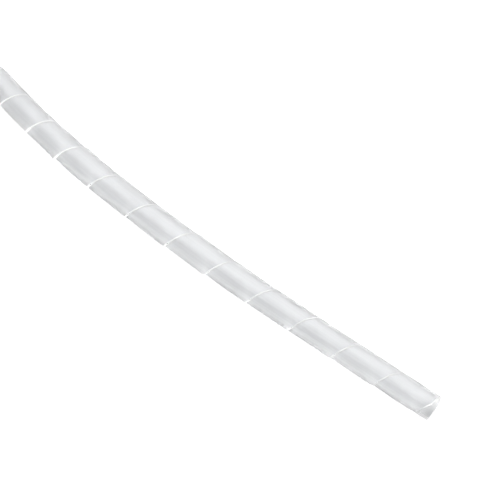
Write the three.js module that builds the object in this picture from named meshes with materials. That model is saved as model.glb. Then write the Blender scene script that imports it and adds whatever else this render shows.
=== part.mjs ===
// Spiral cable wrap: a length of natural polyethylene tube, slit along a left-handed helix so
// that it can be wound round a bundle of cables. It lies on a level floor, the free end to the
// right and the rest of its length wound into a flat round coil.
//
// Units are millimetres and +Z is up. The origin is on the floor, straight below the centre of
// the free end's cut face. The tube leaves it at 160 degrees from +X, and the coil is at -X.

import * as THREE from "three";

// The tube
const lengthOfWrap = 1000; // along the tube's axis, as laid
const endDiameter = 10; // outside, at the free end, which is wound the tightest
const looseDiameter = 10.7; // outside, past the first few turns
const looseningStretch = 80; // how far from the free end the tube takes to loosen
const wall = 1;

// The helical slit
const slitWidth = 0.3; // where the turns lie closed against each other
const wideTurn = 19.5; // closed width of a turn, along the axis, near the free end
const narrowTurn = 16; // closed width of a turn in the rest of the wrap
const wideTurnsEnd = 150; // distances from the free end between which the turns narrow
const narrowTurnsStart = 190;
const slitAtEndFace = THREE.MathUtils.degToRad(20); // where the slit runs out at the free end
const snippedFrom = THREE.MathUtils.degToRad(125); // the thin tip before this angle is cut off
const bluntTip = 5; // width of the last turn where the inner end is snipped off

// How finely the ribbon is faceted: a flat of the tube lies on the floor
const sides = 16;
const sideAngle = (2 * Math.PI) / sides;
const spansAcross = 2;

// The route of the axis from the free end to where the coil begins, chosen by hand
const route = [
  [0, 0],
  [-12, 4.37],
  [-24, 8.74],
  [-36, 13.1],
  [-48, 17.5],
  [-60, 21.9],
  [-72, 26.4],
  [-84, 31.0],
  [-96, 35.8],
  [-108, 40.7],
  [-120, 45.8],
  [-132, 51.3],
  [-144, 57.0],
  [-156, 63.0],
  [-168, 69.5],
  [-180, 76.5],
  [-190.5, 83.2],
  [-200, 89.4],
  [-209, 95.2],
  [-218.2, 101.1],
  [-227.8, 106.6],
  [-237.8, 111.0],
];

// The coil: a flat spiral that runs inwards, its turns side by side
const coilCentre = new THREE.Vector2(-262.7, 47.2);
const coilRadius = 68.5; // of the tube's axis, where the coil begins
const turnClearance = 0.4;
const turnSpacing = looseDiameter + turnClearance;
const pointsPerTurn = 24;

function axisPoints() {
  const points = route.map(([x, y]) => new THREE.Vector3(x, y, 0));
  const lead = points.at(-1);
  const start = Math.atan2(lead.y - coilCentre.y, lead.x - coilCentre.x);
  const step = (2 * Math.PI) / pointsPerTurn;
  let laid = points.slice(1).reduce((sum, p, i) => sum + p.distanceTo(points[i]), 0);
  for (let turned = step; laid < lengthOfWrap + looseDiameter; turned += step) {
    const radius = coilRadius - (turnSpacing * turned) / (2 * Math.PI);
    const next = new THREE.Vector3(
      coilCentre.x + radius * Math.cos(start + turned),
      coilCentre.y + radius * Math.sin(start + turned),
      0,
    );
    laid += next.distanceTo(points.at(-1));
    points.push(next);
  }
  return points;
}

const axis = new THREE.CatmullRomCurve3(axisPoints(), false, "centripetal");
axis.arcLengthDivisions = 4000;
const axisLength = axis.getLength();

// A station is a distance along the axis from the free end. Here the axis has this point, this
// direction away from the free end and this level normal to its left.
function frameAt(station) {
  const u = station / axisLength;
  const along = axis.getTangentAt(u);
  return { point: axis.getPointAt(u), along, left: new THREE.Vector3(-along.y, along.x, 0) };
}

// Curvature of the axis, positive where it turns left, averaged over a turn of the slit
function bendAt(station) {
  const before = Math.max(0, station - narrowTurn / 2);
  const after = Math.min(axisLength, station + narrowTurn / 2);
  const turned = -Math.asin(frameAt(before).along.dot(frameAt(after).left));
  return turned / (after - before);
}

function outerRadiusAt(station) {
  const eased = THREE.MathUtils.smoothstep(station, 0, looseningStretch);
  return THREE.MathUtils.lerp(endDiameter, looseDiameter, eased) / 2;
}

function closedTurnAt(station) {
  const eased = THREE.MathUtils.smoothstep(station, wideTurnsEnd, narrowTurnsStart);
  return THREE.MathUtils.lerp(wideTurn, narrowTurn, eased);
}

// In a bend the turns stay closed on the inside and open like a fan on the outside, so each
// takes more of the axis than its own width
function laidTurnAt(station) {
  return closedTurnAt(station) / (1 - Math.abs(bendAt(station)) * outerRadiusAt(station));
}

// The slit's angle and station at each corner of the many-sided tube, from the free end's cut
// face past the end of the wrap. Angles are about the axis, from straight up and, on the way
// back from the free end, to the left.
function slitCorners() {
  const corners = [];
  let angle = (Math.ceil(slitAtEndFace / sideAngle - 0.5) + 0.5) * sideAngle;
  let station = ((angle - slitAtEndFace) / (2 * Math.PI)) * laidTurnAt(0);
  while (station < lengthOfWrap + 2 * looseDiameter) {
    corners.push({ angle, station });
    station += laidTurnAt(Math.min(station, lengthOfWrap)) / sides;
    angle += sideAngle;
  }
  return corners;
}

const slit = slitCorners();

// Half of the slit's opening along the axis, at a sideways distance to the left of it
function halfOpening(station, toLeft) {
  const bend = bendAt(station);
  const fanned = laidTurnAt(station) * (Math.abs(bend) * outerRadiusAt(station) - bend * toLeft);
  return (slitWidth + fanned) / (2 * (1 - bend * toLeft));
}

// A point of the wall, at a depth below its outer surface
function wallPoint(station, angle, depth) {
  const { point, left } = frameAt(station);
  const outer = outerRadiusAt(station);
  const heightOfAxis = outer * Math.cos(sideAngle / 2);
  return point
    .clone()
    .addScaledVector(left, (outer - depth) * Math.sin(angle))
    .setZ(heightOfAxis + (outer - depth) * Math.cos(angle));
}

// The ribbon's points at one corner of the tube and one depth, from the edge that faces the
// free end to the edge that faces the coil. The end cuts are square to the axis.
function acrossRibbon(corner, depth) {
  const { angle, station } = slit[corner];
  const turnBefore = slit[corner - sides];
  const rear = Math.min(station, lengthOfWrap);
  const toLeft = (outerRadiusAt(rear) - depth) * Math.sin(angle);
  const front = turnBefore ? turnBefore.station + halfOpening(turnBefore.station, toLeft) : 0;
  const from = Math.max(0, front);
  const to = Math.min(lengthOfWrap, station - halfOpening(rear, toLeft));
  const points = [];
  for (let span = 0; span <= spansAcross; span += 1)
    points.push(wallPoint(THREE.MathUtils.lerp(from, to, span / spansAcross), angle, depth));
  return points;
}

// The ribbon lies between these two corners, where its thin tips are snipped off
function firstCorner() {
  return Math.round((snippedFrom - slit[0].angle) / sideAngle);
}

function lastCorner() {
  let corner = slit.length - 1;
  while (slit[corner - sides].station > lengthOfWrap - bluntTip) corner -= 1;
  return corner;
}

// The ribbon as one closed body: a loop of points round its section at each corner of the tube,
// joined by walls, with a flat face at the snipped tip of either end
function spiralWrap() {
  const loop = 2 * (spansAcross + 1);
  const first = firstCorner();
  const last = lastCorner();
  const positions = [];
  const faces = [];
  const quad = (a, b, c, d) => faces.push(a, b, c, a, c, d);
  for (let corner = first; corner <= last; corner += 1) {
    const section = [...acrossRibbon(corner, 0), ...acrossRibbon(corner, wall).reverse()];
    for (const p of section) positions.push(p.x, p.y, p.z);
  }
  const tip = (last - first) * loop;
  for (let start = 0; start < tip; start += loop)
    for (let k = 0; k < loop; k += 1) {
      const here = start + k;
      const beside = start + ((k + 1) % loop);
      quad(here, beside, beside + loop, here + loop);
    }
  for (let span = 0; span < spansAcross; span += 1) {
    const opposite = loop - 1 - span;
    quad(span, opposite, opposite - 1, span + 1);
    quad(tip + span, tip + span + 1, tip + opposite - 1, tip + opposite);
  }
  const geometry = new THREE.BufferGeometry();
  geometry.setAttribute("position", new THREE.Float32BufferAttribute(positions, 3));
  geometry.setIndex(faces);
  geometry.computeVertexNormals();
  return geometry;
}

const naturalPolyethylene = new THREE.MeshStandardMaterial({
  color: 0xe3e5e8,
  roughness: 0.42,
  metalness: 0,
  transparent: true,
  opacity: 0.85,
});

const wrap = new THREE.Mesh(spiralWrap(), naturalPolyethylene);
wrap.name = "spiral_wrap";

const group = new THREE.Group();
group.add(wrap);

export default group;
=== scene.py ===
# %% [markdown]
# # Spiral cable wrap
#
# A spiral cable wrap is a soft plastic tube with one slit that runs round and round it like the
# stripe on a barber's pole, so the whole tube is a single long ribbon. It is wound round a bundle
# of cables to hold them together and guard them. Here a metre of it lies loose on a floor: the
# free end points at the viewer's right, and the far length is wound into a flat round coil.
#
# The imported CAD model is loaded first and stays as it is. It gives the size and the place of
# everything, so that the detailed piece made below can be set against it.

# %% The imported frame
import math
from bisect import bisect_right

import bmesh
import bpy
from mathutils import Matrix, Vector
from mathutils.geometry import interpolate_bezier


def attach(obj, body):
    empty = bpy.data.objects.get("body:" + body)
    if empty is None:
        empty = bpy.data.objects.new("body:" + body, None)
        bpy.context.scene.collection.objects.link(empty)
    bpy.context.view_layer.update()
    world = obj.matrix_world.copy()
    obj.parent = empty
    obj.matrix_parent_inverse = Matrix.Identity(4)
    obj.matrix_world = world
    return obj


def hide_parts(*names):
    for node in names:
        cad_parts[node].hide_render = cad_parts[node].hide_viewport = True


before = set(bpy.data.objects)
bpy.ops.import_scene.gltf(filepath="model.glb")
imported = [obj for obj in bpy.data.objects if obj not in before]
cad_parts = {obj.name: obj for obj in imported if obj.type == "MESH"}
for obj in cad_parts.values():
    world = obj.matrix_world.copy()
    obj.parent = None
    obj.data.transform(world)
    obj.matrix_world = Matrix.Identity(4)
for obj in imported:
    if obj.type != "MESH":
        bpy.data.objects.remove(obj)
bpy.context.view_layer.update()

MM = 0.001

# %% [markdown]
# ## The camera
#
# The photograph looks down at the tube steeply and from far away, which leaves hardly any
# perspective. A long lens does the same. The camera is placed by the point that it looks at, the
# direction that it looks in and its distance, because these three can be fitted one at a time.

# %% The camera
AIM = Vector((-85.6, 46.0, 5.2)) * MM
AZIMUTH = math.radians(19.25)  # 0 looks along +Y
ELEVATION = math.radians(52)
CAMERA_DISTANCE = 2.2
LENS_MM = 435
SENSOR_MM = 36

looking = Vector((
    -math.sin(AZIMUTH) * math.cos(ELEVATION),
    math.cos(AZIMUTH) * math.cos(ELEVATION),
    -math.sin(ELEVATION),
))
lens = bpy.data.cameras.new("camera")
lens.sensor_width = SENSOR_MM
lens.lens = LENS_MM
camera = bpy.data.objects.new("camera", lens)
camera.location = AIM - looking * CAMERA_DISTANCE
camera.rotation_euler = looking.to_track_quat("-Z", "Y").to_euler()
bpy.context.collection.objects.link(camera)
bpy.context.scene.camera = camera
print("camera at", [round(c, 3) for c in camera.location])

# %% [markdown]
# ## The route of the tube
#
# The tube's axis starts at the free end, wanders over the floor in a loose bend and runs into the
# coil. These are the same points as in the part's source. The first ones follow the photograph.
# The coil holds the length that the photograph doesn't show, so it lies just outside the view.
#
# The points become one smooth curve: between two of them it is a Bezier piece whose handles come
# from the neighbours, weighted by the distances. That is the centripetal curve which the CAD model
# follows, and it has no loops or overshoots where the points are unevenly spaced.

# %% The route's points
LENGTH = 1000 * MM
END_DIAMETER = 10 * MM
LOOSE_DIAMETER = 10.7 * MM

ROUTE = [
    (0, 0), (-12, 4.37), (-24, 8.74), (-36, 13.1), (-48, 17.5), (-60, 21.9), (-72, 26.4),
    (-84, 31.0), (-96, 35.8), (-108, 40.7), (-120, 45.8), (-132, 51.3), (-144, 57.0),
    (-156, 63.0), (-168, 69.5), (-180, 76.5), (-190.5, 83.2), (-200, 89.4), (-209, 95.2),
    (-218.2, 101.1), (-227.8, 106.6), (-237.8, 111.0),
]
COIL_CENTRE = Vector((-262.7, 47.2, 0)) * MM
COIL_RADIUS = 68.5 * MM
GAP_IN_COIL = 0.4 * MM
TURN_SPACING = LOOSE_DIAMETER + GAP_IN_COIL
POINTS_PER_TURN = 24

points = [Vector((x, y, 0)) * MM for x, y in ROUTE]
lead = points[-1] - COIL_CENTRE
coil_start = math.atan2(lead.y, lead.x)
laid = sum((b - a).length for a, b in zip(points, points[1:]))
turned = 0
while laid < LENGTH + LOOSE_DIAMETER:
    turned += 2 * math.pi / POINTS_PER_TURN
    radius = COIL_RADIUS - TURN_SPACING * turned / (2 * math.pi)
    heading = coil_start + turned
    there = COIL_CENTRE + Vector((math.cos(heading), math.sin(heading), 0)) * radius
    laid += (there - points[-1]).length
    points.append(there)
print(f"{len(points)} points, {turned / (2 * math.pi):.2f} turns in the coil")

# %% One smooth curve through them, measured along its length
BEZIER_STEPS = 25


def bezier_piece(before, here, there, after):
    """Points from here to there, on the curve that also passes the points before and after."""
    d0, d1, d2 = ((b - a).length ** 0.5 for a, b in ((before, here), (here, there), (there, after)))
    leave = (here - before) / d0 - (there - before) / (d0 + d1) + (there - here) / d1
    arrive = (there - here) / d1 - (after - here) / (d1 + d2) + (after - there) / d2
    handles = here + leave * d1 / 3, there - arrive * d1 / 3
    return interpolate_bezier(here, *handles, there, BEZIER_STEPS)


ends = [2 * points[0] - points[1], *points, 2 * points[-1] - points[-2]]
axis = [points[0]]
for four in zip(ends, ends[1:], ends[2:], ends[3:]):
    axis += bezier_piece(*four)[1:]
stations = [0.0]
for a, b in zip(axis, axis[1:]):
    stations.append(stations[-1] + (b - a).length)


def axis_at(station):
    """The axis's point at this distance from the free end, its direction and its left side."""
    i = min(max(bisect_right(stations, station) - 1, 0), len(axis) - 2)
    part = (station - stations[i]) / (stations[i + 1] - stations[i])
    before, after = axis[max(i - 1, 0)], axis[min(i + 2, len(axis) - 1)]
    along = (axis[i + 1] - before).lerp(after - axis[i], part).normalized()
    return axis[i].lerp(axis[i + 1], part), along, Vector((-along.y, along.x, 0))


print(f"the curve is {stations[-1] / MM:.1f} mm long, of which the wrap takes {LENGTH / MM:.0f}")

# %% [markdown]
# ## The slit
#
# The slit climbs round the tube by one turn's width each time. Near the free end that is about
# two diameters, and further on a little less. On a straight stretch the turns lie closed, edge to
# edge. In a bend they stay closed on the inside and open like a fan on the outside, which is how
# the real wrap bends at all, so a turn takes up more of the axis there.
#
# The slit's place is worked out once, as a table of stations for each sixteenth of a turn, just as
# the CAD model does. The table starts at the first corner of that sixteen-sided tube which the
# slit meets. Angles are counted in whole turns from straight up, and on the way back from the free
# end they go to the left.

# %% The slit's table
WIDE_TURN = 19.5 * MM
NARROW_TURN = 16 * MM
TURNS_NARROW = 150 * MM, 190 * MM
SLIT_WIDTH = 0.3 * MM
SLIT_AT_END_FACE = 20 / 360  # where the slit runs out at the free end, in turns
LOOSENS_OVER = 80 * MM  # the stretch in which the tube reaches its loose diameter
TABLE_STEPS = 16


def smoothstep(x, low, high):
    t = min(max((x - low) / (high - low), 0), 1)
    return t * t * (3 - 2 * t)


def bend_at(station):
    """Curvature of the axis, positive to the left, averaged over one turn of the slit."""
    before = max(0, station - NARROW_TURN / 2)
    after = min(stations[-1], station + NARROW_TURN / 2)
    return -math.asin(axis_at(before)[1].dot(axis_at(after)[2])) / (after - before)


def cad_radius(station):
    eased = smoothstep(station, 0, LOOSENS_OVER)
    return (END_DIAMETER + (LOOSE_DIAMETER - END_DIAMETER) * eased) / 2


def laid_turn(station):
    """How much of the axis one turn of the ribbon takes."""
    closed = WIDE_TURN + (NARROW_TURN - WIDE_TURN) * smoothstep(station, *TURNS_NARROW)
    return closed / (1 - abs(bend_at(station)) * cad_radius(station))


first_turns = (math.ceil(SLIT_AT_END_FACE * TABLE_STEPS - 0.5) + 0.5) / TABLE_STEPS
slit_table = [(first_turns - SLIT_AT_END_FACE) * laid_turn(0)]
while slit_table[-1] < LENGTH + 2 * LOOSE_DIAMETER:
    slit_table.append(slit_table[-1] + laid_turn(min(slit_table[-1], LENGTH)) / TABLE_STEPS)


def slit_at(turns):
    """The slit's distance from the free end when it has gone round this many turns."""
    place = (turns - first_turns) * TABLE_STEPS
    i = min(max(math.floor(place), 0), len(slit_table) - 2)
    return slit_table[i] + (slit_table[i + 1] - slit_table[i]) * (place - i)


print(f"the slit goes round {first_turns + (len(slit_table) - 1) / TABLE_STEPS:.1f} times")

# %% [markdown]
# ## The ribbon, wound up by a spin
#
# One turn of the ribbon is a band that leans, and all the turns are the same band over and over.
# The Spin operator makes exactly that: it takes a row of vertices that lie across the ribbon,
# turns it about the axis in small steps and, with dvec, moves it along by the same amount each
# time. All of this is in turn units at first. A second spin repeats the finished turn instead of
# extruding it, which is much faster than thousands of small steps. Each vertex remembers in a
# layer which share of the ribbon's width lies in front of it, so that it can be told later which
# edge it is near. More vertices stand near the edges, where the shape changes most.
#
# The free end's thin tip is snipped off in the photograph, so the ribbon starts where it is still
# a few millimetres wide, and the inner end is made the same way. Faces that touch an end go into
# a material slot of their own, because the cut there looks greyer than the slit does; that grey
# is painted shade.

# %% Spinning the ribbon
STEPS_PER_TURN = 48
SHARES = (0, 0.035, 0.1, 0.28, 0.5, 0.72, 0.9, 0.965, 1)
ROW_WIDTH = 0.5  # in turns, so that neighbouring turns don't touch and merge
SAME_PLACE = 1e-4
SNIPPED_FROM = 123.75 / 360  # in turns
BLUNT_TIP = 5 * MM
END_SLOT = 2

ribbon = bmesh.new()
share_layer = ribbon.verts.layers.float.new("share")
extruded_layer = ribbon.verts.layers.float_vector.new("as_extruded")

steps = 0
while slit_at(SNIPPED_FROM + (steps + 1) / STEPS_PER_TURN - 1) <= LENGTH - BLUNT_TIP:
    steps += 1

angle = 2 * math.pi * SNIPPED_FROM
row = []
for share in SHARES:
    vertex = ribbon.verts.new((share * ROW_WIDTH, math.sin(angle), math.cos(angle)))
    vertex[share_layer] = share
    row.append(vertex)
row += [ribbon.edges.new(pair) for pair in zip(row, row[1:])]
about_the_tube = {"cent": (0, 0, 0), "axis": (1, 0, 0)}
bmesh.ops.spin(
    ribbon,
    geom=row,
    dvec=(1 / STEPS_PER_TURN, 0, 0),
    angle=-2 * math.pi,
    steps=STEPS_PER_TURN,
    **about_the_tube,
)
bmesh.ops.spin(
    ribbon,
    geom=[*ribbon.verts, *ribbon.edges, *ribbon.faces],
    dvec=(1, 0, 0),
    angle=0,
    steps=steps // STEPS_PER_TURN,
    use_duplicate=True,
    **about_the_tube,
)
bmesh.ops.remove_doubles(ribbon, verts=ribbon.verts, dist=SAME_PLACE)


def step_of(vertex):
    """How many steps of the spin made this vertex."""
    return round((vertex.co.x - vertex[share_layer] * ROW_WIDTH) * STEPS_PER_TURN)


past_the_tip = [vertex for vertex in ribbon.verts if step_of(vertex) > steps]
bmesh.ops.delete(ribbon, geom=past_the_tip, context="VERTS")
snipped = {
    face for vertex in ribbon.verts if step_of(vertex) in (0, steps) for face in vertex.link_faces
}
for face in snipped:
    face.material_index = END_SLOT
print(f"{steps / STEPS_PER_TURN:.1f} turns, {len(ribbon.faces)} faces")

# %% [markdown]
# ## From turn units to a straight tube
#
# Next each vertex goes to its real place on a tube that is still straight, as it left the
# extruder. Its station lies between the slit in front of it and the slit behind it, less half of
# the slit's opening, and its distance from the axis is the tube's radius there.
#
# The turns of a loose wrap don't line up exactly. In the photograph each one is tilted a little,
# so its front edge stands out on the near side and is tucked in on the far side. That shows as
# small steps in the outline. Here a given list of slips of up to 0.7 mm makes them, and a
# short invented list goes on with them in the coil.

# %% The straight tube
DIAMETERS = [  # station and outside diameter in mm, from the photograph
    (0, 9.9), (40, 10.1), (75, 10.4), (125, 10.9), (165, 10.9), (205, 10.6), (250, 10.7),
]
SLIPS = [  # in mm, for each half turn of the slit from the free end
    0, 0.2, 0.5, 0.1, 0.3, 0.05, 0.05, 0.1, 0.25, 0.2, 0.7, 0.4, 0.35, 0.05, 0.2, 0.3, -0.15,
    0.65, 0.65, 0.1, -0.1,
]
HIDDEN_SLIPS = 0.2, 0.05, 0.3, -0.1, 0.15, 0.25, -0.05
FIRST_SLIP_AT = 0.67  # in half turns


def outer_radius(station):
    radius = DIAMETERS[0][1]
    for (s0, d0), (s1, d1) in zip(DIAMETERS, DIAMETERS[1:]):
        radius += (d1 - d0) * smoothstep(station / MM, s0, s1)
    return radius * MM / 2


def listed_slip(i):
    return SLIPS[i] if i < len(SLIPS) else HIDDEN_SLIPS[i % len(HIDDEN_SLIPS)]


def slip_at(turns):
    """How far one edge of the ribbon stands out past the next one's, where the slit is."""
    place = max(2 * turns - FIRST_SLIP_AT, 0)
    i = math.floor(place)
    return (listed_slip(i) + (listed_slip(i + 1) - listed_slip(i)) * (place - i)) * MM


def half_opening(station, to_left):
    """Half of the slit's width along the axis, at a sideways distance to the left of it."""
    station = min(max(station, 0), LENGTH)
    bend, radius = bend_at(station), cad_radius(station)
    fanned = laid_turn(station) * (abs(bend) * radius - bend * to_left)
    return (SLIT_WIDTH + fanned) / (2 * (1 - bend * to_left))


columns = {}
for vertex in ribbon.verts:
    share = vertex[share_layer]
    step = step_of(vertex)
    if step not in columns:
        turns = SNIPPED_FROM + step / STEPS_PER_TURN
        front, back = slit_at(turns - 1), slit_at(turns)
        to_left = cad_radius(back) * math.sin(2 * math.pi * turns)
        columns[step] = (
            turns, front + half_opening(front, to_left), back - half_opening(back, to_left)
        )
    turns, front, back = columns[step]
    station = front + (back - front) * share
    slip = slip_at(turns - 1) * (1 - share) + slip_at(turns) * share
    angle = 2 * math.pi * turns
    radius = outer_radius(station) + slip * (0.5 - share) * math.sin(angle)
    vertex.co = station, radius * math.sin(angle), radius * math.cos(angle)
print("straight tube from", round(min(v.co.x for v in ribbon.verts) / MM, 1), "mm")

# %% [markdown]
# ## The cuts at both ends
#
# The straight tube still runs past both ends, and the Bisect operator cuts it square there. The
# free end gets a second cut, which slopes away from the viewer: in the photograph the far half of
# that end looks straight, where a square cut would show a curve. Each cut gives back its new
# edges, so the faces along them can go into the ends' material slot as well.

# %% The cuts at both ends
FAR_SIDE = math.radians(211)  # round the tube from straight up, from the photograph
CUT_BACK = 0.24  # slope of the second cut, which takes off up to 1.2 mm on the far side
ON_THE_CUT = 1e-7

cuts = (
    (0, (-1, 0, 0)),
    (0, (-1, CUT_BACK * math.sin(FAR_SIDE), CUT_BACK * math.cos(FAR_SIDE))),
    (LENGTH, (1, 0, 0)),
)
for place, outwards in cuts:
    cut = bmesh.ops.bisect_plane(
        ribbon,
        geom=[*ribbon.verts, *ribbon.edges, *ribbon.faces],
        dist=ON_THE_CUT,
        plane_co=(place, 0, 0),
        plane_no=outwards,
        clear_outer=True,
    )
    for edge in cut["geom_cut"]:
        for face in edge.link_faces:
            face.material_index = END_SLOT
bmesh.ops.recalc_face_normals(ribbon, faces=ribbon.faces)
middle = next(f for f in ribbon.faces if f.calc_center_median().x > LENGTH / 2)
if middle.normal.dot(middle.calc_center_median() * Vector((0, 1, 1))) < 0:
    bmesh.ops.reverse_faces(ribbon, faces=ribbon.faces)
for vertex in ribbon.verts:
    vertex[extruded_layer] = vertex.co
print(f"{len(ribbon.faces)} faces from {min(v.co.x for v in ribbon.verts) / MM:.1f} mm",
      f"to {max(v.co.x for v in ribbon.verts) / MM:.1f} mm")

# %% [markdown]
# ## Laying it on the floor
#
# The straight tube is bent along the route: a vertex's station picks the place on the axis, and
# what is left of its position, sideways and up, stays as it is. The axis runs one radius above
# the floor, so the tube touches the floor along its whole length.

# %% Bending the tube along the route
for vertex in ribbon.verts:
    station, sideways, up = vertex.co
    station = min(max(station, 0), LENGTH)
    point, _, left = axis_at(station)
    vertex.co = point + left * sideways + Vector((0, 0, outer_radius(station) + up))

mesh = bpy.data.meshes.new("spiral_wrap_ribbon")
ribbon.to_mesh(mesh)
ribbon.free()
wrap = bpy.data.objects.new("spiral_wrap_ribbon", mesh)
bpy.context.collection.objects.link(wrap)
for polygon in mesh.polygons:
    polygon.use_smooth = True
print("lowest and highest point in mm:",
      [round(f(v.co.z for v in mesh.vertices) / MM, 3) for f in (min, max)])

# %% [markdown]
# ## Wall and edges
#
# So far the ribbon has no thickness. A Solidify modifier gives it its wall of one millimetre,
# inwards, so that the outside diameter stays. The faces that it adds along the rim are the cut
# faces, and each goes into the slot after its neighbour's. So the slots are skin and cut face
# along the slit, then skin and cut face at the ends. A narrow Bevel breaks the edges, because an
# edge without any width never catches the light.

# %% Wall and edges
WALL = 1 * MM
BROKEN_EDGE = 0.1 * MM
SHARP = math.radians(50)

solidify = wrap.modifiers.new("wall", "SOLIDIFY")
solidify.thickness = WALL
solidify.offset = -1
solidify.use_even_offset = True
solidify.material_offset_rim = 1
bevel = wrap.modifiers.new("broken edges", "BEVEL")
bevel.width = BROKEN_EDGE
bevel.segments = 2
bevel.limit_method = "ANGLE"
bevel.angle_limit = SHARP
bevel.harden_normals = True

# %% [markdown]
# ## The marks of extrusion
# The group also paints shade into the colour inside the free end, low down.
#
# The photograph shows faint straight streaks along the tube. An extruded tube gets such lines
# from small nicks in the ring-shaped die that it is pushed through, so here they lie at fixed
# angles round the tube, a few of them deeper. Slow changes along the length and cloudy places are
# added by guess. The skin and the cut faces share all this, so it is a node group.
#
# The pattern must follow the tube through its bends. Each vertex still knows where it was when
# the tube was straight, and an Attribute node reads that.

# %% A helper, and the group's sockets
def add_node(tree, kind, inputs, **settings):
    """A new shader node. Its inputs are given as values or as other nodes' outputs."""
    made = tree.nodes.new("ShaderNode" + kind)
    for name, value in settings.items():
        setattr(made, name, value)
    for name, value in inputs.items():
        if isinstance(value, bpy.types.NodeSocket):
            tree.links.new(value, made.inputs[name])
        else:
            made.inputs[name].default_value = value
    return made


marks = bpy.data.node_groups.new("extrusion_marks_and_painted_tip_shade", "ShaderNodeTree")
for way, name, kind in (
    ("INPUT", "Place", "Vector"),
    ("INPUT", "Clear Colour", "Color"),
    ("INPUT", "Milky Colour", "Color"),
    ("INPUT", "Smooth Roughness", "Float"),
    ("INPUT", "Dull Roughness", "Float"),
    ("OUTPUT", "Colour", "Color"),
    ("OUTPUT", "Roughness", "Float"),
    ("OUTPUT", "Height", "Float"),
):
    marks.interface.new_socket(name=name, in_out=way, socket_type="NodeSocket" + kind)
given = marks.nodes.new("NodeGroupInput").outputs
result = marks.nodes.new("NodeGroupOutput").inputs
print("group", marks.name, "with", len(given) - 1, "inputs and", len(result) - 1, "outputs")

# %% [markdown]
# A place on the tube is split into its distance along the tube, in metres, and its direction
# from the axis, which has length one. A noise that is stretched along the tube and squeezed
# round it gives the fine lines and the broad bands. The deeper lines are a colour ramp over the
# angle, with a thin peak for each nick in the die.

# %% Fine lines, broad bands, clouds and nicks
FINE_LINES = 4, 6, 6  # noise cells per metre along the tube, and per radius round it
BROAD_BANDS = 3, 2.2, 2.2
NOISE_RANGE = 0.35, 0.65  # most of a noise lies between these values
CLOUD_CELLS = 70  # per metre
NICKS = [  # angle round the tube in degrees from straight up, and depth
    (-112, 0.5), (-78, 0.7), (-35, 0.35), (-12, 0.3), (8, 0.25), (44, 1.0), (56, 0.8),
    (69, 0.4), (138, 0.6),
]
NICK_WIDTH = 5 / 360  # in turns, to either side

along = add_node(marks, "VectorMath", {0: given["Place"], 1: (1, 0, 0)}, operation="MULTIPLY")
across = add_node(marks, "VectorMath", {0: given["Place"], 1: (0, 1, 1)}, operation="MULTIPLY")
ring = add_node(marks, "VectorMath", {0: across.outputs[0]}, operation="NORMALIZE")
on_tube = add_node(marks, "VectorMath", {0: along.outputs[0], 1: ring.outputs[0]})


def stretched_noise(cells, detail):
    """Noise over the tube's surface, spread so that its usual range becomes 0 to 1."""
    low, high = NOISE_RANGE
    place = add_node(marks, "VectorMath", {0: on_tube.outputs[0], 1: cells}, operation="MULTIPLY")
    noise = add_node(
        marks, "TexNoise", {"Vector": place.outputs[0], "Scale": 1, "Detail": detail}
    )
    return add_node(
        marks, "MapRange", {"Value": noise.outputs["Fac"], "From Min": low, "From Max": high}
    ).outputs["Result"]


fine_lines = stretched_noise(FINE_LINES, detail=2)
broad_bands = stretched_noise(BROAD_BANDS, detail=1)
clouds = add_node(
    marks, "TexNoise", {"Vector": given["Place"], "Scale": CLOUD_CELLS, "Detail": 3}
).outputs["Fac"]

sides = add_node(marks, "SeparateXYZ", {0: ring.outputs[0]}).outputs
angle = add_node(marks, "Math", {0: sides["Y"], 1: sides["Z"]}, operation="ARCTAN2")
turn = add_node(
    marks, "Math", {0: angle.outputs[0], 1: 1 / (2 * math.pi), 2: 0.5}, operation="MULTIPLY_ADD"
)
ramp = add_node(marks, "ValToRGB", {"Fac": turn.outputs[0]})
ramp.color_ramp.elements[1].color = (0, 0, 0, 1)
for degrees, depth in NICKS:
    for shift, grey in ((-NICK_WIDTH, 0), (0, depth), (NICK_WIDTH, 0)):
        stop = ramp.color_ramp.elements.new(0.5 + degrees / 360 + shift)
        stop.color = (grey, grey, grey, 1)
print(len(ramp.color_ramp.elements), "stops for", len(NICKS), "nicks")

# %% [markdown]
# The parts are weighed into one mask of how milky the surface is. It moves the skin's colour by
# no more than a tenth, because the light on its way to the eye passes four surfaces of the tube.
# The roughness follows the fine lines, and the height is in metres: a line is two thousandths of
# a millimetre deep, which is a guess. Inside the free end the photograph is darker near the
# floor, where shade falls, and a second mask paints that shade into the plastic's colour there.

# %% What the group puts out
LINE_DEPTH = 0.002 * MM
# Painted shade: the plastic's colour turns dark grey near the free end, below the axis.
PAINTED_SHADE_UP_TO = 8 * MM  # from the free end
PAINTED_SHADE_BELOW = 1 * MM  # above the tube's axis
PAINTED_TIP_SHADE = 0.66, 0.665, 0.67, 1

nicks = add_node(
    marks, "Math", {0: ramp.outputs["Color"], 1: broad_bands}, operation="MULTIPLY"
).outputs[0]
milky = 0
for part, weight in ((fine_lines, 0.75), (broad_bands, 0.15), (clouds, 0.1), (nicks, 1)):
    milky = add_node(
        marks, "Math", {0: part, 1: weight, 2: milky}, operation="MULTIPLY_ADD"
    ).outputs[0]
colour = add_node(
    marks,
    "Mix",
    {"Factor": milky, 6: given["Clear Colour"], 7: given["Milky Colour"]},
    data_type="RGBA",
)
place = add_node(marks, "SeparateXYZ", {0: given["Place"]}).outputs
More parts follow.
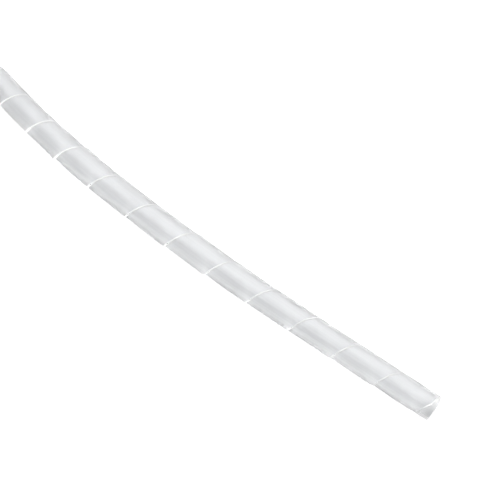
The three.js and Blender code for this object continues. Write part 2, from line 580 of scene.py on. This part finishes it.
# Painted shade mask: darker towards the free end and towards the floor.
near_end = add_node(
    marks, "MapRange", {"Value": place["X"], "From Min": PAINTED_SHADE_UP_TO, "From Max": 0}
)
low_down = add_node(
    marks, "MapRange", {"Value": place["Z"], "From Min": PAINTED_SHADE_BELOW, "From Max": -END_DIAMETER / 2}
)
painted_shade_mask = add_node(
    marks, "Math", {0: near_end.outputs[0], 1: low_down.outputs[0]}, operation="MULTIPLY"
)
colour_with_painted_shade = add_node(
    marks,
    "Mix",
    {"Factor": painted_shade_mask.outputs[0], 6: colour.outputs[2], 7: PAINTED_TIP_SHADE},
    data_type="RGBA",
)
roughness = add_node(
    marks,
    "Mix",
    {"Factor": fine_lines, 2: given["Smooth Roughness"], 3: given["Dull Roughness"]},
)
height = add_node(marks, "Math", {0: milky, 1: -LINE_DEPTH}, operation="MULTIPLY")
marks.links.new(colour_with_painted_shade.outputs[2], result["Colour"])
marks.links.new(roughness.outputs[0], result["Roughness"])
marks.links.new(height.outputs[0], result["Height"])

# %% [markdown]
# ## Natural polyethylene
#
# The plastic has no pigment. Most of the light goes through its wall and is spread a little by
# the satin surface, so the floor and the far side of the tube show through softly. The rest
# scatters inside, which makes it milky. In a Principled shader that is a high Transmission
# Weight with some roughness, and Subsurface for the remainder.

# %% The skin
CLEAR = 0.98, 0.987, 0.995, 1
MILKY = 0.885, 0.892, 0.9, 1
SKIN_ROUGHNESS = 0.28, 0.32
TRANSMISSION = 0.93
REFRACTION = 1.51
SCATTER = 2 * MM


def polyethylene(name, clear, milky, roughness):
    """A material with the marks of extrusion and the painted shade inside the free end, and its
    tree, shader and marks.
    """
    material = bpy.data.materials.new(name)
    material.use_nodes = True
    tree = material.node_tree
    shader = tree.nodes["Principled BSDF"]
    shader.inputs["IOR"].default_value = REFRACTION
    shader.inputs["Subsurface Weight"].default_value = 1
    shader.inputs["Subsurface Radius"].default_value = (1, 1, 1)
    shader.inputs["Subsurface Scale"].default_value = SCATTER
    place = add_node(tree, "Attribute", {}, attribute_name="as_extruded")
    group = tree.nodes.new("ShaderNodeGroup")
    group.node_tree = marks
    tree.links.new(place.outputs["Vector"], group.inputs["Place"])
    group.inputs["Clear Colour"].default_value = clear
    group.inputs["Milky Colour"].default_value = milky
    group.inputs["Smooth Roughness"].default_value = roughness[0]
    group.inputs["Dull Roughness"].default_value = roughness[1]
    bump = add_node(tree, "Bump", {"Height": group.outputs["Height"], "Distance": 1})
    tree.links.new(group.outputs["Colour"], shader.inputs["Base Color"])
    tree.links.new(group.outputs["Roughness"], shader.inputs["Roughness"])
    tree.links.new(bump.outputs["Normal"], shader.inputs["Normal"])
    mesh.materials.append(material)
    return tree, shader, place


_, skin, _ = polyethylene("natural_polyethylene", CLEAR, MILKY, SKIN_ROUGHNESS)
skin.inputs["Transmission Weight"].default_value = TRANSMISSION

# %% [markdown]
# ## The cut faces
#
# In the photograph the slit is a light line, brightest low on the tube, and it fades towards the
# top. Perhaps the wall guides light along inside and lets it out at the cut edges, but that is
# only a guess. The faces of the slit glow a little here, as much as it takes to match: this glow
# is painted light, a mask over the height, from the straight tube's own coordinates. The snipped
# ends show no such line in the photograph, so they don't glow, and their grey is painted shade.
# No cut face transmits light as the skin does, because the ends came out black that way.

# %% The cut faces
CUT_CLEAR = 0.97, 0.97, 0.965, 1
CUT_MILKY = 0.95, 0.95, 0.945, 1
CUT_ROUGHNESS = 0.4, 0.5
# Painted shade: the snipped cut faces are greyer than the slit's, to go with the dark tip.
PAINTED_SHADE_SNIPPED_CLEAR = 0.7, 0.7, 0.7, 1
PAINTED_SHADE_SNIPPED_MILKY = 0.62, 0.62, 0.62, 1
# Painted light: the slit's cut faces glow, more strongly low down on the tube.
PAINTED_SLIT_GLOW = 0.3
PAINTED_GLOW_AT_TOP = 0.65  # as a share of the full glow
TOP_FROM = 0.6  # where the glow starts to rise, in radii above the tube's axis

tree, slit, place = polyethylene("cut_polyethylene_painted_glow", CUT_CLEAR, CUT_MILKY, CUT_ROUGHNESS)
slit.inputs["Emission Strength"].default_value = PAINTED_SLIT_GLOW

# The mask of the painted glow over the height.
side = add_node(tree, "SeparateXYZ", {0: place.outputs["Vector"]})
painted_glow_mask = add_node(
    tree,
    "MapRange",
    {
        "Value": side.outputs["Z"],
        "From Min": TOP_FROM * LOOSE_DIAMETER / 2,
        "From Max": 0,
        "To Min": PAINTED_GLOW_AT_TOP,
    },
)
tree.links.new(painted_glow_mask.outputs[0], slit.inputs["Emission Color"])

mesh.materials.append(mesh.materials[0])  # END_SLOT
polyethylene("snipped_polyethylene_painted_shade", PAINTED_SHADE_SNIPPED_CLEAR, PAINTED_SHADE_SNIPPED_MILKY, CUT_ROUGHNESS)
print("materials:", [material.name for material in mesh.materials])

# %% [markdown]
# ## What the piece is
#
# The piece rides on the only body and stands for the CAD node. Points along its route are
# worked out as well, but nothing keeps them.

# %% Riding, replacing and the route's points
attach(wrap, "root")
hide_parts("spiral_wrap")

PATH_STEPS = 250

for i in range(PATH_STEPS + 1):
    station = LENGTH * i / PATH_STEPS
    axis_at(station)[0] + Vector((0, 0, outer_radius(station)))

# %% [markdown]
# ## Floor and light
#
# The photograph is high-key: the floor is burnt out to pure white, and the tube throws no shadow
# that shows, but its own lower half is darker. To get both, the floor here has more light than
# the picture can show. A little glow of its own gives it that, like a sheet that is lit from
# below, and keeps the tube's shadow above white, except where it is seen through the walls.

# %% Floor
FLOOR_HALF_SIDE = 3
FLOOR_WHITE = 0.93, 0.93, 0.93, 1
FLOOR_ROUGHNESS = 0.8
FLOOR_GLOW = 0.55

floor_bm = bmesh.new()
bmesh.ops.create_grid(floor_bm, x_segments=1, y_segments=1, size=FLOOR_HALF_SIDE)
floor_mesh = bpy.data.meshes.new("floor")
floor_bm.to_mesh(floor_mesh)
floor_bm.free()
floor = bpy.data.objects.new("floor", floor_mesh)
bpy.context.collection.objects.link(floor)

paper = bpy.data.materials.new("white_floor")
paper.use_nodes = True
paper_shader = paper.node_tree.nodes["Principled BSDF"]
paper_shader.inputs["Base Color"].default_value = FLOOR_WHITE
paper_shader.inputs["Roughness"].default_value = FLOOR_ROUGHNESS
paper_shader.inputs["Emission Color"].default_value = (1, 1, 1, 1)
paper_shader.inputs["Emission Strength"].default_value = FLOOR_GLOW
floor_mesh.materials.append(paper)

# %% [markdown]
# The light is a wide even dome and one softbox, above and behind the tube. The photograph has no
# highlight of a lamp on the tube, so reflections leave the softbox out.

# %% Light
DOME = 0.75
SOFTBOX_PLACE = Vector((0.22, 0.88, 1.8))
SOFTBOX_SIZE = 0.3
SOFTBOX_POWER = 8

world = bpy.data.worlds.new("studio")
world.use_nodes = True
world.node_tree.nodes["Background"].inputs["Color"].default_value = (1, 1, 1, 1)
world.node_tree.nodes["Background"].inputs["Strength"].default_value = DOME
bpy.context.scene.world = world
bpy.context.scene.view_settings.view_transform = "Standard"

lamp = bpy.data.lights.new("overhead", "AREA")
lamp.shape = "SQUARE"
lamp.size = SOFTBOX_SIZE
lamp.energy = SOFTBOX_POWER
softbox = bpy.data.objects.new("overhead", lamp)
softbox.location = SOFTBOX_PLACE
softbox.rotation_euler = (AIM - SOFTBOX_PLACE).to_track_quat("-Z", "Y").to_euler()
softbox.visible_glossy = False
bpy.context.collection.objects.link(softbox)
print("softbox", round((AIM - SOFTBOX_PLACE).length, 2), "m from the tube")
